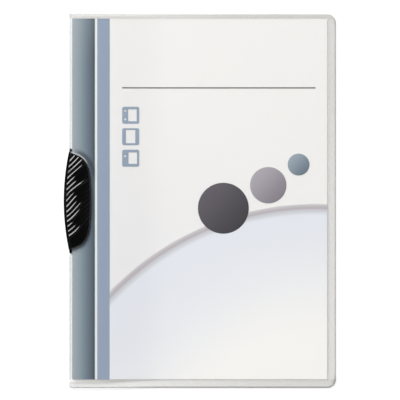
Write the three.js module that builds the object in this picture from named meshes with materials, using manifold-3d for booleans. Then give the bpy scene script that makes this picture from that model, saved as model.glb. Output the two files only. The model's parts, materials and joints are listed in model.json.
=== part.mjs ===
// A clip folder for A4 paper: a folded clear film cover, a printed title sheet, and a black clamp that
// swings out of the spine on a pin. Millimetres, +Z up, lying on its back cover.
// Until the group is centred at the end, x = 0 is the spine's outer edge and y = 0 is half its height.
import * as THREE from "three";
import { mergeVertices } from "three/addons/utils/BufferGeometryUtils.js";
import Module from "manifold-3d";

const wasm = await Module();
wasm.setup();

// Title sheet
const sheetWidth = 210;
const sheetHeight = 297;
const sheetThickness = 0.2;

// Cover: what the film stands out past the sheet on each side
const spineMargin = 2.6;
const openMargin = 7;
const topMargin = 3.8;
const bottomMargin = 7;
const cornerRadius = 6.8;
const filmThickness = 0.3;
const foldRoom = 1.4;
const airGap = 0.2;
const inkThickness = 0.1;
const inkGap = 0.05;
const landingRun = 56;

// Crease on which the front cover opens beside the closed clip
const creaseClearance = 4.2;
const creaseGap = 0.2;
const flatPastCrease = 1;

// Clip
const runningGap = 0.3;
const jawReach = 18;
const frontJawLength = 80.6;
const rearJawLength = 86.8;
const tipInset = 0.7;
const webBulge = 4.2;
const webWall = 1.7;
const webTipWall = 0.5;
const jawEndSlope = 0.4;
const jawSideBulge = 2.5;
const jawCornerAlong = 14;
const jawCornerAcross = 9.8;
const rearJawThickness = 2;
const rearJawBevel = 0.4;
const crownHeight = 3;
const crownTipHeight = 0.9;
const crownEndHeight = 1.8;
const crownFromSpine = 4;
const ridgeInset = 1.9;
const ridgeHeight = 0.6;
const ridgePitch = 4.5;
const ridgeSway = 0.5;
const smoothRimDrop = 0.5;

// Pin that the clip turns on, and the cut in the fold that lets the web in
const pinFromSpine = 1.5;
const pinFromJawEnd = 3.8;
const pinRadius = 0.7;
const pinClearance = 0.1;
const headRadius = 1.5;
const headClearance = 0.2;
const headThickness = 0.7;
const socketDepth = 1;
const notchDepth = 2;
const notchFromPin = 3.4;
const notchPastTip = 0.8;
const webFromNotch = 0.5;

// Printed fields on the title sheet, measured from the spine and from half height
const bandEdge = 21.3;
const stripeStart = 23.2;
const stripeEnd = 33.4;
const textLeft = 43.7;
const ruleEnd = 203;
const ruleHeight = 93.7;
const ruleThickness = 1;
const iconSize = 14;
const iconCorner = 1.6;
const iconPitch = 17.7;
const iconTop = 77.6;
const iconDotRadius = 0.8;
const hillRadius = 236;
const hillCentre = [203, -238];
const largeDisc = [127, -6, 21];
const middleDisc = [164, 13, 15];
const smallDisc = [189, 30, 9];

// What stays blank in each icon, as shares of its size from its lower left corner: a page and dots
const icons = [
  {
    name: "print_icon_top",
    page: [0.35, 0.15, 0.85, 0.85],
    dots: [
      [0.18, 0.26],
      [0.18, 0.76],
    ],
  },
  { name: "print_icon_middle", page: [0.22, 0.12, 0.77, 0.9], dots: [] },
  { name: "print_icon_bottom", page: [0.37, 0.17, 0.87, 0.84], dots: [[0.17, 0.62]] },
];

// Heights of the stack, from the table up
const liftHeight = rearJawThickness + runningGap;
const frontJawUnder = liftHeight + 2 * filmThickness + foldRoom + runningGap;
const sheetRoom = airGap + sheetThickness + inkGap + inkThickness + airGap;

// Places along the page
const coverWidth = spineMargin + sheetWidth + openMargin;
const coverHeight = sheetHeight + topMargin + bottomMargin;
const sheetCentreY = (bottomMargin - topMargin) / 2;
const creaseX = jawReach + creaseClearance;
const dropStart = creaseX + flatPastCrease;
const dropEnd = dropStart + landingRun;
const pinY = frontJawLength / 2 - pinFromJawEnd;
const notchTop = pinY - notchFromPin;
const notchBottom = -rearJawLength / 2 - notchPastTip;

const BEYOND = 10;
const ARC_STEPS = 24;
const DOT_STEPS = 10;

const materials = {
  film: new THREE.MeshStandardMaterial({
    color: 0xdfe1dc,
    roughness: 0.18,
    metalness: 0,
    transparent: true,
    opacity: 0.35,
  }),
  paper: new THREE.MeshStandardMaterial({ color: 0xf4f3f1, roughness: 0.8, metalness: 0 }),
  blackPlastic: new THREE.MeshStandardMaterial({ color: 0x0b0b0c, roughness: 0.2, metalness: 0 }),
  steel: new THREE.MeshStandardMaterial({ color: 0x8a8c8f, roughness: 0.35, metalness: 1 }),
  bandInk: new THREE.MeshStandardMaterial({ color: 0x7d929e, roughness: 0.6, metalness: 0 }),
  stripeInk: new THREE.MeshStandardMaterial({ color: 0x94a3b5, roughness: 0.6, metalness: 0 }),
  ruleInk: new THREE.MeshStandardMaterial({ color: 0x7a7370, roughness: 0.6, metalness: 0 }),
  paleInk: new THREE.MeshStandardMaterial({ color: 0xdfe3ea, roughness: 0.6, metalness: 0 }),
  darkInk: new THREE.MeshStandardMaterial({ color: 0x4b4650, roughness: 0.6, metalness: 0 }),
  mauveInk: new THREE.MeshStandardMaterial({ color: 0x98929a, roughness: 0.6, metalness: 0 }),
};

const group = new THREE.Group();
group.position.x = (webBulge - coverWidth) / 2;

// A closed geometry as a solid that can be cut and joined
function solidOf(geometry) {
  const bare = geometry.clone();
  bare.deleteAttribute("normal");
  bare.deleteAttribute("uv");
  const merged = mergeVertices(bare, 1e-4);
  return new wasm.Manifold(
    new wasm.Mesh({
      numProp: 3,
      vertProperties: merged.attributes.position.array,
      triVerts: new Uint32Array(merged.index.array),
    }),
  );
}

// Adds a solid to the model as a named mesh
function addPart(name, solid, material) {
  const { vertProperties, triVerts } = solid.getMesh();
  const geometry = new THREE.BufferGeometry();
  geometry.setAttribute("position", new THREE.BufferAttribute(vertProperties, 3));
  geometry.setIndex(new THREE.BufferAttribute(triVerts, 1));
  geometry.computeVertexNormals();
  const mesh = new THREE.Mesh(geometry, material);
  mesh.name = name;
  group.add(mesh);
}

// An outline in the page's plane, raised from one height to another
function prism(shape, low, high) {
  const geometry = new THREE.ExtrudeGeometry(shape, {
    depth: high - low,
    bevelEnabled: false,
    curveSegments: ARC_STEPS,
  });
  geometry.translate(0, 0, low);
  return solidOf(geometry);
}

// A section seen from the bottom edge, x across and z up, drawn out along the spine
function alongSpine(section, length) {
  const geometry = new THREE.ExtrudeGeometry(section, {
    depth: length,
    bevelEnabled: false,
    curveSegments: ARC_STEPS / 2,
  });
  geometry.translate(0, 0, -length / 2);
  geometry.rotateX(Math.PI / 2);
  return solidOf(geometry);
}

function rectangle(left, bottom, right, top) {
  const corners = [
    [left, bottom],
    [right, bottom],
    [right, top],
    [left, top],
  ];
  return new THREE.Shape(corners.map(([x, y]) => new THREE.Vector2(x, y)));
}

function disc(x, y, radius) {
  return new THREE.Shape().absarc(x, y, radius, 0, 2 * Math.PI);
}

// Share of the way down from the strip in the clip to the table
const settled = (x) => THREE.MathUtils.smoothstep(x, dropStart, dropEnd);

const backUnder = (x) => liftHeight * (1 - settled(x));
const backOver = (x) => backUnder(x) + filmThickness;
const frontUnder = (x) => backOver(x) + THREE.MathUtils.lerp(foldRoom, sheetRoom, settled(x));
const frontOver = (x) => frontUnder(x) + filmThickness;
const sheetUnder = (x) => backOver(x) + airGap;
const sheetOver = (x) => sheetUnder(x) + sheetThickness;
const inkUnder = (x) => sheetOver(x) + inkGap;
const inkOver = (x) => inkUnder(x) + inkThickness;

// The places between two ends where a curved sheet has a vertex
function stations(from, to) {
  const bends = [];
  for (let i = 0; i <= ARC_STEPS; i += 1) {
    bends.push(THREE.MathUtils.lerp(dropStart, dropEnd, i / ARC_STEPS));
  }
  return [from, ...bends.filter((x) => x > from && x < to), to];
}

// A thin sheet between two heights, from one place to another
function sheetSection(from, to, under, over) {
  const places = stations(from, to);
  const lower = places.map((x) => new THREE.Vector2(x, under(x)));
  const upper = places.map((x) => new THREE.Vector2(x, over(x))).reverse();
  return new THREE.Shape([...lower, ...upper]);
}

// The cover's outline: square at the spine, round at the open edge
function coverOutline() {
  const half = coverHeight / 2;
  const right = coverWidth;
  const shape = new THREE.Shape();
  shape.moveTo(-BEYOND, -half);
  shape.lineTo(right - cornerRadius, -half);
  shape.absarc(right - cornerRadius, cornerRadius - half, cornerRadius, -Math.PI / 2, 0);
  shape.absarc(right - cornerRadius, half - cornerRadius, cornerRadius, 0, Math.PI / 2);
  shape.lineTo(-BEYOND, half);
  return prism(shape, -BEYOND, BEYOND * 2);
}

// Back cover, fold and the front's clamped strip, in one film
function foldedSection() {
  const radius = foldRoom / 2 + filmThickness;
  const middle = liftHeight + radius;
  const end = creaseX - creaseGap / 2;
  const section = new THREE.Shape();
  const places = stations(radius, coverWidth);
  section.moveTo(radius, liftHeight + 2 * radius);
  section.absarc(radius, middle, radius, Math.PI / 2, Math.PI * 1.5);
  places.forEach((x) => section.lineTo(x, backUnder(x)));
  places.reverse().forEach((x) => section.lineTo(x, backOver(x)));
  section.absarc(radius, middle, foldRoom / 2, -Math.PI / 2, Math.PI / 2, true);
  section.lineTo(end, frontUnder(end));
  section.lineTo(end, frontOver(end));
  return section;
}

function makeCovers() {
  const outline = coverOutline();
  const notch = prism(
    rectangle(-BEYOND, notchBottom, notchDepth, notchTop),
    -BEYOND,
    BEYOND * 2,
  );
  const hole = prism(disc(pinFromSpine, pinY, pinRadius + runningGap), -BEYOND, BEYOND * 2);
  const back = alongSpine(foldedSection(), coverHeight)
    .intersect(outline)
    .subtract(notch)
    .subtract(hole);
  addPart("back_cover", back, materials.film);

  const panel = sheetSection(creaseX + creaseGap / 2, coverWidth, frontUnder, frontOver);
  addPart("front_cover", alongSpine(panel, coverHeight).intersect(outline), materials.film);
}

function makeTitleSheet() {
  const right = spineMargin + sheetWidth;
  const sheet = alongSpine(sheetSection(spineMargin, right, sheetUnder, sheetOver), sheetHeight);
  addPart("title_sheet", sheet.translate([0, sheetCentreY, 0]), materials.paper);
}

// A rounded square with a page and dots left blank in it
function iconShape(left, top, page, dots) {
  const right = left + iconSize;
  const bottom = top - iconSize;
  const shape = new THREE.Shape();
  shape.absarc(left + iconCorner, bottom + iconCorner, iconCorner, Math.PI, Math.PI * 1.5);
  shape.absarc(right - iconCorner, bottom + iconCorner, iconCorner, -Math.PI / 2, 0);
  shape.absarc(right - iconCorner, top - iconCorner, iconCorner, 0, Math.PI / 2);
  shape.absarc(left + iconCorner, top - iconCorner, iconCorner, Math.PI / 2, Math.PI);
  const [pageLeft, pageBottom, pageRight, pageTop] = page.map((share) => share * iconSize);
  shape.holes.push(
    rectangle(left + pageLeft, bottom + pageBottom, left + pageRight, bottom + pageTop),
  );
  dots.forEach(([across, up]) => {
    const dot = disc(left + across * iconSize, bottom + up * iconSize, iconDotRadius);
    shape.holes.push(new THREE.Path(dot.getPoints(DOT_STEPS)));
  });
  return shape;
}

// Flat fields of ink, each following the sheet down to the table
function makePrint() {
  const right = spineMargin + sheetWidth;
  const top = sheetCentreY + sheetHeight / 2;
  const bottom = sheetCentreY - sheetHeight / 2;
  const skin = alongSpine(sheetSection(spineMargin, right, inkUnder, inkOver), sheetHeight);
  const ink = skin.translate([0, sheetCentreY, 0]);
  const field = (shape) => prism(shape, -BEYOND, BEYOND * 2).intersect(ink);

  addPart(
    "print_spine_band",
    field(rectangle(spineMargin, bottom, bandEdge, top)),
    materials.bandInk,
  );
  addPart("print_stripe", field(rectangle(stripeStart, bottom, stripeEnd, top)), materials.stripeInk);
  addPart(
    "print_rule",
    field(rectangle(textLeft, ruleHeight - ruleThickness, ruleEnd, ruleHeight)),
    materials.ruleInk,
  );
  icons.forEach(({ name, page, dots }, i) => {
    const square = iconShape(textLeft, iconTop - i * iconPitch, page, dots);
    addPart(name, field(square), materials.stripeInk);
  });

  addPart("print_disc_large", field(disc(...largeDisc)), materials.darkInk);
  addPart("print_disc_middle", field(disc(...middleDisc)), materials.mauveInk);
  addPart("print_disc_small", field(disc(...smallDisc)), materials.bandInk);

  const page = prism(rectangle(stripeEnd, bottom, right, top), -BEYOND, BEYOND * 2);
  const clear = [largeDisc, middleDisc, smallDisc].map(([x, y, radius]) =>
    prism(disc(x, y, radius + inkGap), -BEYOND, BEYOND * 2),
  );
  const hill = clear.reduce(
    (left, spot) => left.subtract(spot),
    field(disc(...hillCentre, hillRadius)).intersect(page),
  );
  addPart("print_hill", hill, materials.paleInk);
}

// The clip's spine side is an arc that stands out past the cover at its middle
const tipY = rearJawLength / 2;
const outerSagitta = webBulge + tipInset;
const outerRadius = (tipY ** 2 + outerSagitta ** 2) / (2 * outerSagitta);
const outerX = (y) => outerRadius - webBulge - Math.sqrt(outerRadius ** 2 - y ** 2);

const innerSagitta = outerSagitta - webWall + webTipWall;
const innerRadius = (tipY ** 2 + innerSagitta ** 2) / (2 * innerSagitta);
const innerX = (y) => innerRadius - webBulge + webWall - Math.sqrt(innerRadius ** 2 - y ** 2);

// Points down an edge that is given as x for each y
function edgePoints(edge, top, bottom) {
  const points = [];
  for (let i = 0; i <= ARC_STEPS; i += 1) {
    const y = THREE.MathUtils.lerp(top, bottom, i / ARC_STEPS);
    points.push(new THREE.Vector2(edge(y), y));
  }
  return points;
}

// A jaw from above: the spine edge, slanting ends, round corners and a bulging free side
function jawShape(length, spineEdge) {
  const half = length / 2;
  const shape = new THREE.Shape(edgePoints(spineEdge, half, -half));
  const startX = spineEdge(half);
  const cornerX = jawReach - jawSideBulge;
  const cornerY = half - (cornerX - startX) * jawEndSlope;
  const sideRadius = (cornerY ** 2 + jawSideBulge ** 2) / (2 * jawSideBulge);
  const sideY = cornerY - jawCornerAlong;
  const sideX = jawReach - sideRadius + Math.sqrt(sideRadius ** 2 - sideY ** 2);
  const sweep = Math.asin(sideY / sideRadius);
  const endX = cornerX - jawCornerAcross;
  const endY = half - (endX - startX) * jawEndSlope;
  shape.lineTo(endX, -endY);
  shape.quadraticCurveTo(cornerX, -cornerY, sideX, -sideY);
  shape.absarc(jawReach - sideRadius, 0, sideRadius, -sweep, sweep);
  shape.quadraticCurveTo(cornerX, cornerY, endX, endY);
  return shape;
}

// The crowned top of the front jaw
const crownFall = (crownHeight - crownTipHeight) / (jawReach - crownFromSpine) ** 2;
const endFall = (crownHeight - crownEndHeight) / (frontJawLength / 2) ** 2;
function crown(x, y) {
  return frontJawUnder + crownHeight - crownFall * (x - crownFromSpine) ** 2 - endFall * y ** 2;
}

// A block under the crown, whose rows of vertices follow ridges that climb at 45 degrees
const RIDGE_SHAPE = [0, 0.7, 1, 0.55];
function crownBlock(height, drop) {
  const columns = 12;
  const left = -webBulge - 1;
  const right = jawReach + 1;
  const reach = frontJawLength / 2 + 1;
  const firstRow = Math.floor((-reach - right) / ridgePitch) * RIDGE_SHAPE.length;
  const lastRow = Math.ceil((reach - left) / ridgePitch) * RIDGE_SHAPE.length;
  const rows = lastRow - firstRow;
  const geometry = new THREE.BoxGeometry(1, 1, 1, columns, rows, 1);
  const place = geometry.attributes.position;
  for (let i = 0; i < place.count; i += 1) {
    const x = THREE.MathUtils.lerp(left, right, place.getX(i) + 0.5);
    const row = Math.round(firstRow + (place.getY(i) + 0.5) * rows);
    const ridge = Math.floor(row / RIDGE_SHAPE.length);
    const sway = ridgeSway * Math.sin(x / 2.6 + ridge * 1.9) * (height > 0 ? 1 : 0);
    const y = x + (row / RIDGE_SHAPE.length) * ridgePitch + sway;
    const rise = RIDGE_SHAPE[row - ridge * RIDGE_SHAPE.length] * height;
    const z = place.getZ(i) > 0 ? crown(x, y) - drop + rise : frontJawUnder;
    place.setXYZ(i, x, y, z);
  }
  return solidOf(geometry);
}

// One moulding: front jaw, web and rear jaw, open towards the paper
function makeClip() {
  const top = frontJawUnder + crownHeight + ridgeHeight + 1;
  const ridgedEdge = (y) => outerX(y) + ridgeInset;
  const smooth = prism(jawShape(frontJawLength, outerX), frontJawUnder, top);
  const ridged = prism(jawShape(frontJawLength, ridgedEdge), frontJawUnder, top);
  const frontJaw = smooth
    .intersect(crownBlock(0, smoothRimDrop))
    .add(ridged.intersect(crownBlock(ridgeHeight, ridgeHeight / 2)));

  const webTop = notchTop - webFromNotch;
  const webShape = new THREE.Shape([
    ...edgePoints(outerX, webTop, -tipY),
    ...edgePoints(innerX, webTop, -tipY).reverse(),
  ]);
  const web = prism(webShape, rearJawBevel, frontJawUnder + runningGap);

  const rear = new THREE.ExtrudeGeometry(jawShape(rearJawLength, outerX), {
    depth: rearJawThickness - 2 * rearJawBevel,
    bevelEnabled: true,
    bevelThickness: rearJawBevel,
    bevelSize: rearJawBevel,
    bevelOffset: -rearJawBevel,
    bevelSegments: 1,
    curveSegments: ARC_STEPS,
  });
  rear.translate(0, 0, rearJawBevel);

  const socketTop = frontJawUnder + socketDepth;
  const socket = disc(pinFromSpine, pinY, pinRadius + pinClearance);
  const headSeat = disc(pinFromSpine, pinY, headRadius + headClearance);
  const clip = frontJaw
    .add(web)
    .add(solidOf(rear))
    .subtract(prism(socket, -BEYOND, socketTop))
    .subtract(prism(headSeat, -BEYOND, headThickness + 2 * headClearance));
  addPart("swing_clip", clip, materials.blackPlastic);
}

// The pin goes in from below, through both films, and ends in a blind hole in the front jaw
function makePin() {
  const headTop = headClearance + headThickness;
  const pinTop = frontJawUnder + socketDepth - pinClearance;
  const profile = [
    [0, headClearance],
    [headRadius, headClearance],
    [headRadius, headTop],
    [pinRadius, headTop],
    [pinRadius, pinTop],
    [0, pinTop],
  ].map(([r, z]) => new THREE.Vector2(r, z));
  const geometry = new THREE.LatheGeometry(profile, ARC_STEPS);
  geometry.rotateX(Math.PI / 2);
  geometry.translate(pinFromSpine, pinY, 0);
  addPart("pivot_pin", solidOf(geometry), materials.steel);
}

makeCovers();
makeTitleSheet();
makePrint();
makeClip();
makePin();

export default group;
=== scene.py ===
# Clip folder: the finish of every piece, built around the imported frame. Metres, +Z up.
import json
import math

import bpy
import numpy as np
from bpy.props import FloatProperty, FloatVectorProperty, PointerProperty
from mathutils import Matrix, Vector


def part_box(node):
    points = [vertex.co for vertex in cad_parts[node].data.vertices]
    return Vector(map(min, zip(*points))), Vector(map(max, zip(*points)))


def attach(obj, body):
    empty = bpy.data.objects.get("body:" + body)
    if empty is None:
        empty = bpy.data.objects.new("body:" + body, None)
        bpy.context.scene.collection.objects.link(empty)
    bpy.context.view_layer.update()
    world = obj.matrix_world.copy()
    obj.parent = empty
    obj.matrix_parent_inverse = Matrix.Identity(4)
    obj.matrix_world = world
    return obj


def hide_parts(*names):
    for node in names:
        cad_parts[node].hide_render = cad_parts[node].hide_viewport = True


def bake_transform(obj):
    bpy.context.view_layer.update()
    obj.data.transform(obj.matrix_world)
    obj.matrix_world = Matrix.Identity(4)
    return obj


bl_info = {
    "name": "Clip Folder",
    "version": (1, 0, 0),
    "blender": (4, 5, 0),
    "location": "View3D > Sidebar > Clip Folder",
    "description": "Builds a clear report folder with a printed title sheet and a swinging clip",
    "category": "Object",
}

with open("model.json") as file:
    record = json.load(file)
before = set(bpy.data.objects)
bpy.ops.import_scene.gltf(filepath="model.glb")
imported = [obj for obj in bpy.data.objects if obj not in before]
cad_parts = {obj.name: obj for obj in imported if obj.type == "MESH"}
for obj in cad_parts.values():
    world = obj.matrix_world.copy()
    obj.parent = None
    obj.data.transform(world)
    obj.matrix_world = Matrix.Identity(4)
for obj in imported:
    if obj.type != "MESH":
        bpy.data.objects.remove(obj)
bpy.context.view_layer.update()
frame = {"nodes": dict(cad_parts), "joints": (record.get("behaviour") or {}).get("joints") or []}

MM = 0.001
COVER_LOW, COVER_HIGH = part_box("back_cover")
SHEET_LOW, SHEET_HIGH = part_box("title_sheet")
SPINE_X = COVER_LOW.x
COVER_WIDTH = (COVER_HIGH.x - COVER_LOW.x) / MM
COVER_HALF = (COVER_HIGH.y - COVER_LOW.y) / 2 / MM
COVER_JOINT = next(j for j in frame["joints"] if j["name"] == "cover_open")
CLIP_JOINT = next(j for j in frame["joints"] if j["name"] == "clip_swing")
CREASE = (COVER_JOINT["pos_m"][0] - SPINE_X) / MM
PIN = ((CLIP_JOINT["pos_m"][0] - SPINE_X) / MM, CLIP_JOINT["pos_m"][1] / MM)

# Heights of the films, in millimetres, as the solids have them
FILM = 0.3
LIFT = 2.3
FOLD_ROOM = 1.4
SHEET_ROOM = 0.65
DROP_START = CREASE + 1
DROP_END = DROP_START + 56
CORNER_RADIUS = 6.8
PIN_HOLE_RADIUS = 1
FINE_BEYOND_NOTCH = 14
COARSE_ROW = 8
DROP_COLUMN = 2.4
COARSE_COLUMN = 11
CORNER_STEP = 6
FOLD_STEP = 15

# Painted shade along the film's cut edge, deepest on the sides away from the lamp: its width in
# millimetres, and its depth by side
EDGE_BAND = 1
LOWER_EDGE_BAND = 1.3
SIDE_EDGE_SHADE = 0.85
UPPER_EDGE_SHADE = 0.2
EDGE_FADED_AT = 2
EDGE_POWER = 1.3
EDGE_SHADE_VEIL = 0.46
EDGE_SHARE_AT_SPINE = 0.2
EDGE_FADE_AT_SPINE = 3

# The margins: factors on their veil at the spine, the bottom and the top
VEIL_AT_SPINE = 0.62
VEIL_AT_BOTTOM = 0.88
VEIL_AT_TOP = 1.1
# Painted shade and painted light on the same above and below the sheet, each beside the spine and past
# the film's drop: more veil above the sheet beside the spine, where the raised film leaves the table
# lit, and less below it, where the sheet's shadow falls
SHADE_ABOVE_SHEET = (2.1, 1.35)
SHADE_BELOW_SHEET = (0.75, 1.25)
CLOUD_SCALE = 9
CLOUD_SHARE = 0.3

# The fold, where painted shade darkens the crease: how far it reaches in, its veil at the bottom and the
# top, and the height it ends at
FOLD_REACH = (1.4, 2.6)
FOLD_SHADE_VEIL = (0.12, 0.06)
FOLD_END_HEIGHT = (6, 8)
FOLD_GLOSS_LOSS = 0.8

# Painted light on the sheet's shadow, in millimetres: the veil is held off where that shadow falls, and
# a pale line lies where the film bends over the sheet's edges
SHEET_BLUR = 0.35
SHEET_SHADOW = 0.7
BEND_LINE = (0.1, 1)
BEND_PAINTED_LIGHT = 0.25
# Painted light: a pale patch below the sheet that lightens the sheet's shadow, where the film is still
# raised off the table
PATCH_HEIGHT = (1.5, 4)
PATCH_REACH = (15, 50)
PATCH_PAINTED_LIGHT = 0.22

# The rim pressed into the film round the clip, with a painted highlight on it and a painted shadow
# beside it, in millimetres
RIM_LOW = 15
RIM_BEYOND = 12
RIM_PAINTED_HIGHLIGHT = 0.5
RIM_HIGHLIGHT_START = 29
RIM_HIGHLIGHT_WIDTH = 0.35
RIM_PAINTED_SHADOW = 0.24
RIM_SHADOW_START = 16
RIM_SHADOW_PLACE = 2
RIM_SHADOW_WIDTH = 1.8
RIM_SHADOW_FROM = 0.6
RIM_WIDTH = 0.5
RIM_BESIDE_END = 0.55
RIM_BESIDE_SIDE = 0.5
RIM_SHAPED_BEYOND = 6
SUNK_DEPTH = 0.12
SUNK_BLUR = 0.2

# The clip's outline, in millimetres from the spine's edge and half height
FRONT_HALF = 40.3
REAR_HALF = 43.4
JAW_REACH = 18
JAW_END_SLOPE = 0.4
JAW_SIDE_BULGE = 2.5
JAW_CORNER_ALONG = 12.5
JAW_CORNER_ACROSS = 8.4
WEB_BULGE = 4.2
WEB_WALL = 1.7
TIP_INSET = 0.7
WEB_TIP_WALL = 0.5
REAR_JAW_TOP = 2
JAW_UNDER = 4.6
CROWN_HEIGHT = 3
CROWN_TIP_HEIGHT = 0.9
CROWN_END_HEIGHT = 1.8
CROWN_FROM_SPINE = 4
RIM_DROP = 0.5
NOTCH_DEPTH = 2
NOTCH_TOP = PIN[1] - 3.4
NOTCH_BOTTOM = -REAR_HALF - 0.8

# The pale field on the sheet, in millimetres from the spine and from the middle of the page
HILL_RADIUS = 236
HILL_CENTRE = (203, -238)
HILL_FADE = 120
HILL_BORDER = 9

# The clip's moulding, in millimetres
RIM_STEP = 1.9
RIDGE_RISE = 0.33
RIDGE_COLUMNS = 112
RIDGE_ROW = 0.18
RIDGE_FADE_AT_EDGE = 1.6
REAR_COLUMNS = 24
REAR_ROW = 1.4
SPINE_ROUNDING = 0.25
RIM_ROUNDING = 0.35
FREE_ROUNDING = 1.1
REAR_ROUNDING = 0.5
PIN_SEAT = ((1.7, 1.1), (0.8, 5.6))

# The stage: the lamp in metres, the table's own light, the dome's light and the camera
LAMP_PLACE = (-3.6, 3.6, 4.5)
LAMP_SIZE = 3.5
TABLE_LIGHT = 0.23
DOME_HEIGHT = (0.6, 0.97)
DOME_LIGHT = (0.52, 0.06)
PHOTO_PIXELS = 400
CAMERA_OFFSET = (0.1, 0.95)
SENSOR_WIDTH = 36


def linear(red, green, blue):
    """A colour as it is read off a screen, made linear."""

    def channel(value):
        share = value / 255
        return share / 12.92 if share <= 0.04045 else ((share + 0.055) / 1.055) ** 2.4

    return tuple(channel(value) for value in (red, green, blue))


class FilmSettings(bpy.types.PropertyGroup):
    tint: FloatVectorProperty(
        name="Film tint",
        description="Colour of the light that the film scatters",
        subtype="COLOR",
        size=3,
        min=0,
        max=1,
        default=linear(143, 137, 121),
    )
    veil: FloatProperty(
        name="Veil",
        description="Share of the light that one face of the film scatters where it lies on paper",
        default=0.012,
        min=0,
        max=1,
        subtype="FACTOR",
    )
    free_veil: FloatProperty(
        name="Veil of the margins",
        description="The same of two faces, one of each film, where there is no paper",
        default=0.124,
        min=0,
        max=1,
        subtype="FACTOR",
    )
    rim_height: FloatProperty(
        name="Embossed rim",
        description="Height of the rim that is pressed into the film round the clip",
        default=0.3 * MM,
        min=0,
        unit="LENGTH",
    )


class PrintSettings(bpy.types.PropertyGroup):
    paper: FloatVectorProperty(
        name="Paper",
        description="Colour of the title sheet",
        subtype="COLOR",
        size=3,
        min=0,
        max=1,
        default=linear(244, 243, 241),
    )
    stripe: FloatVectorProperty(
        name="Stripe",
        description="Colour of the narrow stripe and the three squares",
        subtype="COLOR",
        size=3,
        min=0,
        max=1,
        default=linear(147, 163, 181),
    )
    rule: FloatVectorProperty(
        name="Rule",
        description="Colour of the thin line across the sheet",
        subtype="COLOR",
        size=3,
        min=0,
        max=1,
        default=linear(118, 110, 108),
    )


class ClipSettings(bpy.types.PropertyGroup):
    ridge_height: FloatProperty(
        name="Ridge height",
        description="How far the ridges stand out of the front jaw",
        default=0.4 * MM,
        min=0,
        unit="LENGTH",
    )
    ridge_pitch: FloatProperty(
        name="Ridge pitch",
        description="From one ridge to the next along the spine",
        default=4.4 * MM,
        min=0.001,
        unit="LENGTH",
    )
    colour: FloatVectorProperty(
        name="Clip colour",
        description="Colour of the moulded plastic",
        subtype="COLOR",
        size=3,
        min=0,
        max=1,
        default=(0.0008, 0.0008, 0.001),
    )
    roughness: FloatProperty(
        name="Roughness",
        description="Roughness of the moulded plastic",
        default=0.13,
        min=0,
        max=1,
        subtype="FACTOR",
    )


class StageSettings(bpy.types.PropertyGroup):
    view_width: FloatProperty(
        name="View width",
        description="Width that the camera takes in at the folder",
        default=0.3292,
        min=0.01,
        unit="LENGTH",
    )
    camera_height: FloatProperty(
        name="Camera height",
        description="Height of the camera above the table",
        default=1.8,
        min=0.1,
        unit="LENGTH",
    )
    key_power: FloatProperty(
        name="Key lamp",
        description="Power of the large lamp at the upper left",
        default=552,
        min=0,
        unit="POWER",
    )


def settings():
    """The property groups of the scene."""
    return bpy.context.scene


def deselect_all():
    for piece in bpy.context.selected_objects:
        piece.select_set(False)


def finish_piece(piece, smooth_angle=40):
    """Smooths a piece and leaves it deselected."""
    deselect_all()
    piece.select_set(True)
    bpy.context.view_layer.objects.active = piece
    bpy.ops.object.shade_smooth_by_angle(angle=math.radians(smooth_angle))
    deselect_all()


def apply_modifier(piece, kind, **values):
    """Adds a modifier with these values and applies it."""
    bpy.context.view_layer.objects.active = piece
    modifier = piece.modifiers.new(kind.title(), kind)
    for name, value in values.items():
        setattr(modifier, name, value)
    bpy.ops.object.modifier_apply(modifier=modifier.name)


def add_grid(name, columns, rows, place):
    """A grid whose vertex at a column and a row lies where place() says, in page millimetres."""
    deselect_all()
    bpy.ops.mesh.primitive_grid_add(
        x_subdivisions=len(columns) - 1,
        y_subdivisions=len(rows) - 1,
        size=2,
    )
    piece = bpy.context.object
    piece.name = name
    piece.data.name = name
    for vertex in piece.data.vertices:
        column = columns[round((vertex.co.x + 1) / 2 * (len(columns) - 1))]
        row = rows[round((vertex.co.y + 1) / 2 * (len(rows) - 1))]
        x, y, z = place(column, row)
        vertex.co = (SPINE_X + x * MM, y * MM, z * MM)
    piece.data.update()
    return piece


def spread(start, end, step):
    """Evenly spaced values from start to end, about a step apart."""
    return list(np.linspace(start, end, max(2, round(abs(end - start) / step) + 1)))


def merged(*runs):
    """The values of several runs in order, each value once."""
    values = sorted(value for run in runs for value in run)
    kept = values[:1]
    for value in values[1:]:
        if value - kept[-1] > 0.01:
            kept.append(value)
    return kept


# Materials


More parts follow.
